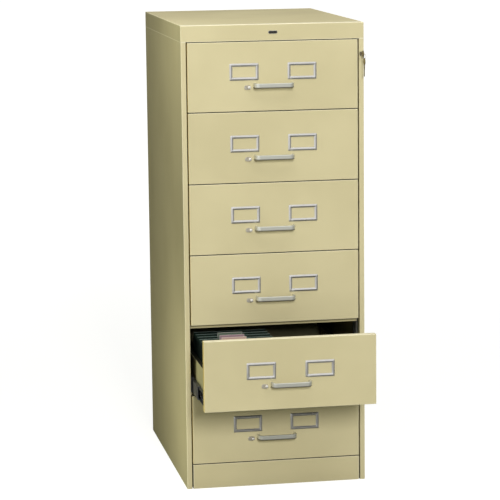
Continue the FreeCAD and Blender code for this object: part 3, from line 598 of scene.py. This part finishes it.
# The knob's bright tone is a painted highlight, and the plate's warm dim tone a painted
# reflection of the cream front.
knob_nickel = nickel("knob_nickel", tone=(0.88, 0.85, 0.80), sheen=0.18, metal=0.7)
plate_nickel = nickel("latch_plate_nickel", tone=(0.54, 0.50, 0.42), sheen=0.32, metal=0.6)
for drawer in DRAWERS:
    low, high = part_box(f"drawer_{drawer}_thumb_latch")
    level = (low.z + high.z) / 2
    across = high.x - PLATE_HALF_WIDE
    plate_back = low.y + KNOB_REACH + PLATE_THICK
    shape = bmesh.new()
    add_plate(shape, across, level, plate_back)
    add_block(shape, (across - STEM_HALF, plate_back - PLATE_EASE, level - STEM_HALF),
              (across + STEM_HALF, high.y - STEM_END, level + STEM_HALF), BAR_EDGE)
    add_block(shape, (low.x, high.y - BOLT_THICK, level - BOLT_HALF),
              (across + STEM_HALF, high.y, level + BOLT_HALF), BAR_EDGE)
    latch = finished(f"drawer_{drawer}_latch_slide", mesh_of("latch", shape), plate_nickel,
                     f"drawer_{drawer}_latch")
    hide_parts(f"drawer_{drawer}_thumb_latch")
    shape = bmesh.new()
    knob_foot = plate_back - PLATE_THICK + KNOB_SINK
    add_turned(shape, KNOB, (across + KNOB_SHIFT, knob_foot, level))
    finished(f"drawer_{drawer}_latch_knob", mesh_of("knob", shape), knob_nickel,
             f"drawer_{drawer}_latch")

# Badge
# A small pill-shaped badge on the header, blank: a nickel plated base with a rim round a
# black enamelled field.

BADGE_RIM = 0.0009
BADGE_EASE = 0.00025
BADGE_SLOPE = 0.0012
FIELD_BACK = 0.0006
FIELD_RISE = 0.0001
FIELD_DOME = 0.0002
PILL_FLAT = 1e-5


def black_enamel():
    field = Finish("badge_black_enamel")
    fleck = field.noise(700.0, 2.0)
    shade = field.mix(fleck.ease(0.4, 0.8), (0.012, 0.011, 0.010), (0.028, 0.025, 0.022))
    skin = field.bump(field.noise(300.0, 1.0), 0.00004, strength=0.4)
    return field.done(Base_Color=shade, Roughness=(0.16 + fleck * 0.12).held(), Normal=skin)


def add_pill(shape, low, high, inset, start, end, dome=0.0):
    """A pill with its face towards the front, from depth `start` to `end`."""
    wide = high.x - low.x - 2 * inset
    tall = high.z - low.z - 2 * inset
    middle = (low.x + high.x) / 2
    level = (low.z + high.z) / 2
    rings = []
    for inner, depth in ((0.0, start), (0.0, end + BADGE_EASE), (BADGE_EASE, end),
                         (BADGE_SLOPE, end - dome)):
        outline = rounded(wide - 2 * inner, tall - 2 * inner, tall / 2 - inner - PILL_FLAT, 10)
        rings.append([shape.verts.new((middle + x, depth, level + z)) for x, z in outline])
    close_rings(shape, rings)


low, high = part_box("badge_plate")
shape = bmesh.new()
add_pill(shape, low, high, inset=0.0, start=high.y, end=low.y)
badge_nickel = nickel("badge_rim_nickel", tone=(0.70, 0.68, 0.62), sheen=0.22)
badge = finished("badge_base", mesh_of("badge", shape), badge_nickel, "case")
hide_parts("badge_plate")
shape = bmesh.new()
add_pill(shape, low, high, inset=BADGE_RIM, start=low.y + FIELD_BACK,
         end=low.y - FIELD_RISE, dome=FIELD_DOME)
finished("badge_field", mesh_of("field", shape), black_enamel(), "case")

# Lock and keys
# A nickel plated cylinder lock in the right stile. A flat key stands in it, and a split ring
# through its eye carries the spare.

BOW_RADIUS = 0.010
EYE_RADIUS = 0.002
EYE_BACK = 0.006
NECK = 0.010
BLADE = 0.022
BLADE_HALF = 0.0028
SHOULDER_HALF = BLADE_HALF * 1.25
SHOULDER_SLOPE = 0.001
CUT_WIDTH = 0.0009
CUT_DEPTHS_MM = (0.0, 0.9, 0.3, 1.5, 0.6, 1.1, 0.2, 1.3, 0.5)
HALF_THICK = 0.00078
KEY_EDGE = 0.00022
BOW_STEPS = 40
EYE_STEPS = 20


def key_outline():
    """The bow's arc, then the cut edge of the blade to its tip and the plain edge back."""
    start = math.asin(SHOULDER_HALF / BOW_RADIUS)
    outline = []
    for step in range(BOW_STEPS + 1):
        angle = start + (2 * math.pi - 2 * start) * step / BOW_STEPS
        outline.append((BOW_RADIUS * math.cos(angle), BOW_RADIUS * math.sin(angle)))
    shoulder = BOW_RADIUS + NECK
    tip = shoulder + BLADE
    outline += [(shoulder - SHOULDER_SLOPE, -SHOULDER_HALF), (shoulder, -BLADE_HALF)]
    for index, depth in enumerate(CUT_DEPTHS_MM):
        along = shoulder + BLADE * (0.12 + 0.8 * index / len(CUT_DEPTHS_MM))
        outline.append((along, -BLADE_HALF + depth / 1000))
        outline.append((along + CUT_WIDTH, -BLADE_HALF + depth / 1000))
    return outline + [
        (tip - 0.001, -BLADE_HALF + 0.0022), (tip, -0.0002),
        (tip - 0.0012, BLADE_HALF - 0.0004), (tip - 0.003, BLADE_HALF),
        (shoulder, BLADE_HALF), (shoulder - SHOULDER_SLOPE, SHOULDER_HALF)]


def key_shape():
    """A key lying along x, bow centre at the origin and blade towards +x."""
    eye = [(-EYE_BACK + EYE_RADIUS * math.cos(2 * math.pi * step / EYE_STEPS),
            EYE_RADIUS * math.sin(2 * math.pi * step / EYE_STEPS)) for step in range(EYE_STEPS)]
    curve = bpy.data.curves.new("key_outline", "CURVE")
    curve.dimensions = "2D"
    curve.fill_mode = "BOTH"
    curve.extrude = HALF_THICK
    curve.bevel_depth = KEY_EDGE
    curve.bevel_resolution = 1
    for loop in (key_outline(), eye):
        spline = curve.splines.new("POLY")
        spline.points.add(len(loop) - 1)
        for point, (x, y) in zip(spline.points, loop):
            point.co = (x, y, 0.0, 1.0)
        spline.use_cyclic_u = True
    blank = bpy.data.objects.new("key_outline", curve)
    bpy.context.scene.collection.objects.link(blank)
    bpy.context.view_layer.update()
    solid = bpy.data.meshes.new_from_object(blank.evaluated_get(
        bpy.context.evaluated_depsgraph_get()))
    bpy.data.objects.remove(blank)
    shape = bmesh.new()
    shape.from_mesh(solid)
    outward(shape)
    return shape


# The first key points into the lock, its flat upright. The spare hangs with its blade down.
INTO_LOCK = Matrix(((0, 0, 1, 0), (1, 0, 0, 0), (0, 1, 0, 0), (0, 0, 0, 1)))
HANGING = Matrix(((0, 0, 1, 0), (0, 1, 0, 0), (-1, 0, 0, 0), (0, 0, 0, 1)))
SPARE_ASIDE = 0.0022

lock_nickel = nickel("lock_nickel", tone=(0.44, 0.40, 0.31), sheen=0.26)
key_nickel = nickel("key_nickel", tone=(0.27, 0.22, 0.11), sheen=0.34, tarnish=0.5)
coat(["lock_housing", "lock_plug"], lock_nickel)

low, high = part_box("lock_key")
lock_across = (low.x + high.x) / 2
lock_level = (low.z + high.z) / 2
bow = Vector((lock_across, low.y + BOW_RADIUS, lock_level))
shape = key_shape()
shape.transform(Matrix.Translation(bow) @ INTO_LOCK)
key = finished("key_in_lock", mesh_of("key", shape), key_nickel, "lock_plug")
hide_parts("lock_key")

low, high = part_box("key_ring_with_spare_key")
eye = Vector((lock_across, bow.y - EYE_BACK, lock_level))
spare_bow = Vector((lock_across + SPARE_ASIDE, eye.y, low.z + BLADE + NECK + BOW_RADIUS))
shape = key_shape()
shape.transform(Matrix.Translation(spare_bow) @ HANGING)
finished("spare_key", mesh_of("spare", shape), key_nickel, "key_ring")

RING_RADIUS = 0.007
RING_DROP = 0.0058
RING_LAP = 0.0010
RING_STEPS = 96
WIRE_RADIUS = 0.00045
WIRE_SIDES = 8
shape = bmesh.new()
loops = []
for step in range(RING_STEPS + 1):
    # Two full turns, the second laid behind the first.
    angle = math.pi / 2 + 4 * math.pi * step / RING_STEPS
    middle = Vector((eye.x + RING_RADIUS * math.cos(angle),
                     eye.y + RING_LAP * (step / RING_STEPS - 0.5),
                     eye.z - RING_DROP + RING_RADIUS * math.sin(angle)))
    out = Vector((math.cos(angle), 0, math.sin(angle)))
    wire = []
    for corner in range(WIRE_SIDES):
        around = 2 * math.pi * corner / WIRE_SIDES
        wire.append(shape.verts.new(
            middle + WIRE_RADIUS * (math.cos(around) * out + Vector((0, math.sin(around), 0)))))
    loops.append(wire)
close_rings(shape, loops)
split_ring = finished("split_ring", mesh_of("ring", shape), lock_nickel, "key_ring")
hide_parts("key_ring_with_spare_key")

# Guide cards
# Dark green pressboard guides stand in the left row of the open drawer; four carry a folded
# paper tab clipped over the top edge, each in another tint.

CARD_TOP_HIGHLIGHT = (0.0016, 0.0004)
TAB_RIM = (0.0016, 0.0005)
CARD_DISTANCE = 0.035
TAB_TINTS = ((204, 186, 158), (190, 158, 148), (158, 128, 138), (98, 112, 98))


def pressboard():
    board = Finish("green_pressboard")
    below_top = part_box("drawer_5_guide_cards")[1].z - board.axes()[2]
    fibre = board.noise(260.0, 5.0, 0.7, stretch=(1, 1, 0.4))
    mottle = board.noise(1400.0, 2.0, 0.6)
    shade = board.mix(fibre.ease(0.3, 0.7), linear(13, 27, 21), linear(24, 42, 34))
    shade = board.mix(mottle.ease(0.6, 0.8) * 0.35, shade, linear(46, 64, 52))
    # A painted highlight: the top edge of each card is pale.
    shade = board.mix(below_top.ease(*CARD_TOP_HIGHLIGHT) * 0.9, shade, linear(150, 166, 158))
    skin = board.bump(fibre, 0.00018, strength=0.7)
    return board.done(Base_Color=shade, Roughness=(0.72 + mottle * 0.15).held(), Normal=skin)


def tab_card():
    card = Finish("tab_card")
    across, along, up = card.axes()
    low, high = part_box("drawer_5_guide_tabs")
    fibre = card.noise(900.0, 4.0, 0.7)
    shade = linear(*TAB_TINTS[0])
    for index, tint in enumerate(TAB_TINTS[1:], start=1):
        between = low.y + CARD_DISTANCE * (index - 0.5)
        shade = card.mix(along.ease(between, between + 0.0001), shade, linear(*tint))
    shade = card.mix(fibre.ease(0.55, 0.8) * 0.2, shade, linear(232, 226, 210))
    rim = (across - low.x).least(high.x - across).least(high.z - up).ease(*TAB_RIM)
    shade = card.mix(rim * 0.55, shade, linear(240, 234, 222))
    skin = card.bump(fibre, 0.00008, strength=0.6)
    return card.done(Base_Color=shade, Roughness=(0.6 + fibre * 0.2).held(), Normal=skin)


coat(["drawer_5_guide_cards"], pressboard())
coat(["drawer_5_guide_tabs"], tab_card())

# Rivets and screws
# Flat rivets hold the outer slides to the posts and the back to the sides, and domed screws
# hold the inner slides to the trays. Rows of small dimples are pressed along their races.
# All are set out on points, and turned to face the way they are driven from.

HEAD_SIDES = 14
DOME_RINGS = 6
DOME_SHARE = 0.86


def head_tree():
    """A low disc with a flattened dome on it, set on every point of a mesh."""
    tree = bpy.data.node_groups.new("heads_on_points", "GeometryNodeTree")
    face = tree.interface
    face.new_socket("Places", in_out="INPUT", socket_type="NodeSocketGeometry")
    face.new_socket("Head Radius", in_out="INPUT", socket_type="NodeSocketFloat")
    face.new_socket("Head Height", in_out="INPUT", socket_type="NodeSocketFloat")
    face.new_socket("Facing", in_out="INPUT", socket_type="NodeSocketVector")
    face.new_socket("Plating", in_out="INPUT", socket_type="NodeSocketMaterial")
    face.new_socket("Heads", in_out="OUTPUT", socket_type="NodeSocketGeometry")

    def add(kind, settings, inputs):
        node = tree.nodes.new(kind)
        for key, setting in settings.items():
            setattr(node, key, setting)
        for key, given in inputs.items():
            if isinstance(given, bpy.types.NodeSocket):
                tree.links.new(given, node.inputs[key])
            else:
                node.inputs[key].default_value = given
        return node.outputs[0]

    given = tree.nodes.new("NodeGroupInput").outputs
    spot = add("GeometryNodeInputPosition", {}, {})
    across = add("ShaderNodeSeparateXYZ", {}, {0: spot})
    side = add("ShaderNodeMath", {"operation": "SIGN"}, {0: across})
    mirror = add("ShaderNodeCombineXYZ", {}, {0: side, 1: 1.0, 2: 1.0})
    way = add("ShaderNodeVectorMath", {"operation": "MULTIPLY"}, {0: mirror, 1: given["Facing"]})
    turn = add("FunctionNodeAlignRotationToVector", {"axis": "Z"}, {"Vector": way})
    disc = add("GeometryNodeMeshCylinder", {"fill_type": "NGON"}, {
        "Vertices": HEAD_SIDES, "Radius": given["Head Radius"], "Depth": given["Head Height"]})
    inner = add("ShaderNodeMath", {"operation": "MULTIPLY"},
                {0: given["Head Radius"], 1: DOME_SHARE})
    ball = add("GeometryNodeMeshUVSphere", {}, {
        "Segments": HEAD_SIDES, "Rings": DOME_RINGS, "Radius": inner})
    ratio = add("ShaderNodeMath", {"operation": "DIVIDE"}, {0: given["Head Height"], 1: inner})
    flat = add("ShaderNodeCombineXYZ", {}, {0: 1.0, 1: 1.0, 2: ratio})
    dome = add("GeometryNodeTransform", {}, {"Geometry": ball, "Scale": flat})
    head = tree.nodes.new("GeometryNodeJoinGeometry")
    tree.links.new(disc, head.inputs[0])
    tree.links.new(dome, head.inputs[0])
    points = add("GeometryNodeMeshToPoints", {}, {"Mesh": given["Places"]})
    set_out = add("GeometryNodeInstanceOnPoints", {}, {
        "Points": points, "Instance": head.outputs[0], "Rotation": turn})
    real = add("GeometryNodeRealizeInstances", {}, {"Geometry": set_out})
    plated = add("GeometryNodeSetMaterial", {}, {
        "Geometry": real, "Material": given["Plating"]})
    tree.links.new(plated, tree.nodes.new("NodeGroupOutput").inputs[0])
    return tree


heads_on_points = head_tree()
screw_zinc = zinc("screw_zinc", tone=(0.66, 0.66, 0.64), grain=(1, 1, 1), sheen=0.3)


def set_heads(name, places, radius, height, facing, body, plating=screw_zinc):
    """Heads on the given places; `facing` is as seen on the right, and mirrored on the left."""
    mesh = bpy.data.meshes.new(name)
    mesh.from_pydata(places, [], [])
    seed = bpy.data.objects.new(name, mesh)
    bpy.context.scene.collection.objects.link(seed)
    modifier = seed.modifiers.new("heads", "NODES")
    modifier.node_group = heads_on_points
    given = {"Head Radius": radius, "Head Height": height, "Facing": facing,
             "Plating": plating}
    for socket in heads_on_points.interface.items_tree:
        if socket.in_out == "INPUT" and socket.name in given:
            modifier[socket.identifier] = given[socket.name]
    bpy.context.view_layer.update()
    heads = bpy.data.meshes.new_from_object(
        seed.evaluated_get(bpy.context.evaluated_depsgraph_get()))
    bpy.data.objects.remove(seed)
    return finished(name, heads, plating, body)


POST_MIDDLES = (-0.309, 0.282)
OUTER_WEB = 0.2408
places = []
for drawer in DRAWERS:
    low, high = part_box(f"drawer_{drawer}_slide_members")
    places += [(side * OUTER_WEB, along, (low.z + high.z) / 2)
               for side in (-1, 1) for along in POST_MIDDLES]
set_heads("outer_slide_rivets", places, radius=0.0034, height=0.0004, facing=(-1, 0, 0),
          body="case")

REAR_FLANGE_MIDDLE = 0.2515
BACK_RIVETS = 13
BACK_RIVET_FOOT = 0.05
BACK_RIVET_PITCH = 0.102
rear_face = cad_box[1][1]
places = [(side * REAR_FLANGE_MIDDLE, rear_face, BACK_RIVET_FOOT + BACK_RIVET_PITCH * step)
          for side in (-1, 1) for step in range(BACK_RIVETS)]
set_heads("back_rivets", places, radius=0.0030, height=0.0008, facing=(0, 1, 0), body="case",
          plating=enamel("back_rivet_enamel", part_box("back_panel")))

SCREW_FACE = 0.2311
SCREWS_FROM_FRONT = (0.018, 0.062, 0.25, 0.44, 0.62)
DIMPLE_FACE = 0.2310
DIMPLES = 48
DIMPLE_START = 0.03
DIMPLE_PITCH = 0.012
DIMPLE_RISE = 0.0105
for drawer in DRAWERS:
    low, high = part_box(f"drawer_{drawer}_slide_members")
    middle = (low.z + high.z) / 2
    places = [(side * SCREW_FACE, low.y + along, middle)
              for side in (-1, 1) for along in SCREWS_FROM_FRONT]
    set_heads(f"drawer_{drawer}_slide_screws", places, radius=0.0033, height=0.0022,
              facing=(1, 0, 0), body=f"drawer_{drawer}")
    places = [(side * DIMPLE_FACE, low.y + DIMPLE_START + DIMPLE_PITCH * step, middle + rise)
              for side in (-1, 1) for step in range(DIMPLES)
              for rise in (-DIMPLE_RISE, DIMPLE_RISE)]
    set_heads(f"drawer_{drawer}_slide_dimples", places, radius=0.0016, height=0.0010,
              facing=(1, 0, 0), body=f"drawer_{drawer}")

# Floor, light and camera
# A white floor that runs out of sight, one broad soft lamp high at the front, a weak one
# overhead and two small fills at the left side, and a long lens a little above the cabinet.

AMBIENT_TINT = (0.95, 1.0, 0.76)
WHITE = (1.0, 1.0, 1.0)
FLOOR_REACH = 30.0
FLOOR_GLOW = 0.86
FAR_FLOOR_GLOW = 0.16
CARD_GLOW = 0.75
FRONT_GLOW = 0.3


def studio_floor():
    """White to the camera, pale to soft light, and dark with a white card in mirrors."""
    ground = Finish("studio_floor")
    seen = ground.add("ShaderNodeLightPath", {}, {}, "Is Camera Ray")
    gleam = ground.add("ShaderNodeLightPath", {}, {}, "Is Glossy Ray")
    away = ground.add("ShaderNodeVectorMath", {"operation": "LENGTH"},
                      {0: ground.place}, "Value")
    across, along = ground.axes()[:2]
    card = across.ease(-0.9, -2.2) * along.ease(0.6, -0.6) * gleam
    front = along.ease(-0.7, -2.6) * gleam
    dark = ground.mix(along.ease(-0.6, 0.8), (0.2, 0.2, 0.19), (0.03, 0.03, 0.03))
    pale = ground.mix(along.ease(0.2, -0.8), (0.3, 0.3, 0.27), (0.5, 0.5, 0.45))
    base = ground.add("ShaderNodeBsdfDiffuse", {}, {"Color": ground.mix(gleam, pale, dark)})
    glow = ground.add("ShaderNodeEmission", {}, {
        "Color": WHITE,
        "Strength": (seen * (away.ease(1.0, 5.0) * FAR_FLOOR_GLOW + FLOOR_GLOW)
                     + card * CARD_GLOW + front * FRONT_GLOW)})
    return ground.show(ground.add("ShaderNodeAddShader", {}, {0: base, 1: glow}))


shape = bmesh.new()
bmesh.ops.create_grid(shape, x_segments=1, y_segments=1, size=FLOOR_REACH)
floor_mesh = bpy.data.meshes.new("floor")
shape.to_mesh(floor_mesh)
shape.free()
floor_mesh.materials.append(studio_floor())
floor = bpy.data.objects.new("floor", floor_mesh)
bpy.context.scene.collection.objects.link(floor)


def studio_walls():
    """White to the camera; brighter at the front, the top and the left in mirrors."""
    studio = Finish("studio", bpy.data.worlds)
    seen = studio.add("ShaderNodeLightPath", {}, {}, "Is Camera Ray")
    gleam = studio.add("ShaderNodeLightPath", {}, {}, "Is Glossy Ray")
    across, along, up = studio.axes()
    mirrored = (along.ease(0.5, -0.6) * 0.88 + 0.12) * (
        0.31 + up.ease(-0.1, 0.7) * 0.8
        + across.ease(0.0, -0.8) * 0.75
        + along.ease(-0.5, -1.0) * 0.4)
    ambient = (
        (along.ease(0.4, -0.7) * 0.18 + up.ease(-0.2, 0.8) * 0.03 + 0.07)
        * (1.0 - across.ease(0.0, -0.9) * 0.4)
        + across.ease(0.1, -0.7) * up.ease(0.3, 0.9) * 0.12)
    tint = studio.mix(seen.most(gleam), AMBIENT_TINT, WHITE)
    level = seen.most(mirrored * gleam + ambient * (1.0 - gleam))
    return studio.show(
        studio.add("ShaderNodeBackground", {}, {"Color": tint, "Strength": level}),
        "ShaderNodeOutputWorld")


bpy.context.scene.world = studio_walls()


def lamp(name, place, target, size, power, tint=WHITE):
    light = bpy.data.lights.new(name, "AREA")
    light.shape = "RECTANGLE"
    light.size, light.size_y = size
    light.energy = power
    light.color = tint
    stand = bpy.data.objects.new(name, light)
    stand.location = place
    stand.rotation_euler = (Vector(target) - Vector(place)).to_track_quat("-Z", "Y").to_euler()
    stand.visible_camera = False
    stand.visible_glossy = False
    bpy.context.scene.collection.objects.link(stand)


FILL_TINT = (1.0, 1.02, 0.78)
lamp("front_softbox", place=(0.0, -11.4, 4.7), target=(0.0, 0.0, 0.75),
     size=(1.5, 3.3), power=815.0)
lamp("top_softbox", place=(0.0, -0.8, 3.0), target=(0.0, -0.7, 0.0),
     size=(2.6, 2.4), power=44.0)
lamp("side_fill_high", place=(-0.85, -0.37, 1.50), target=(-0.26, -0.3, 1.25),
     size=(0.3, 0.5), power=2.15, tint=FILL_TINT)
lamp("side_fill_low", place=(-0.80, -0.37, 0.22), target=(-0.26, -0.3, 0.15),
     size=(0.3, 0.4), power=1.5, tint=FILL_TINT)

CAMERA_PLACE = (-1.1774, -6.5086, 1.7132)
CAMERA_TURN = (80.6582, 0.6263, -10.3061)
camera = bpy.data.cameras.new("camera")
camera.lens = 161.376
camera.sensor_width = 36.0
tripod = bpy.data.objects.new("camera", camera)
tripod.location = CAMERA_PLACE
tripod.rotation_euler = tuple(math.radians(angle) for angle in CAMERA_TURN)
bpy.context.scene.collection.objects.link(tripod)
bpy.context.scene.camera = tripod

bpy.context.scene.view_settings.view_transform = "Standard"
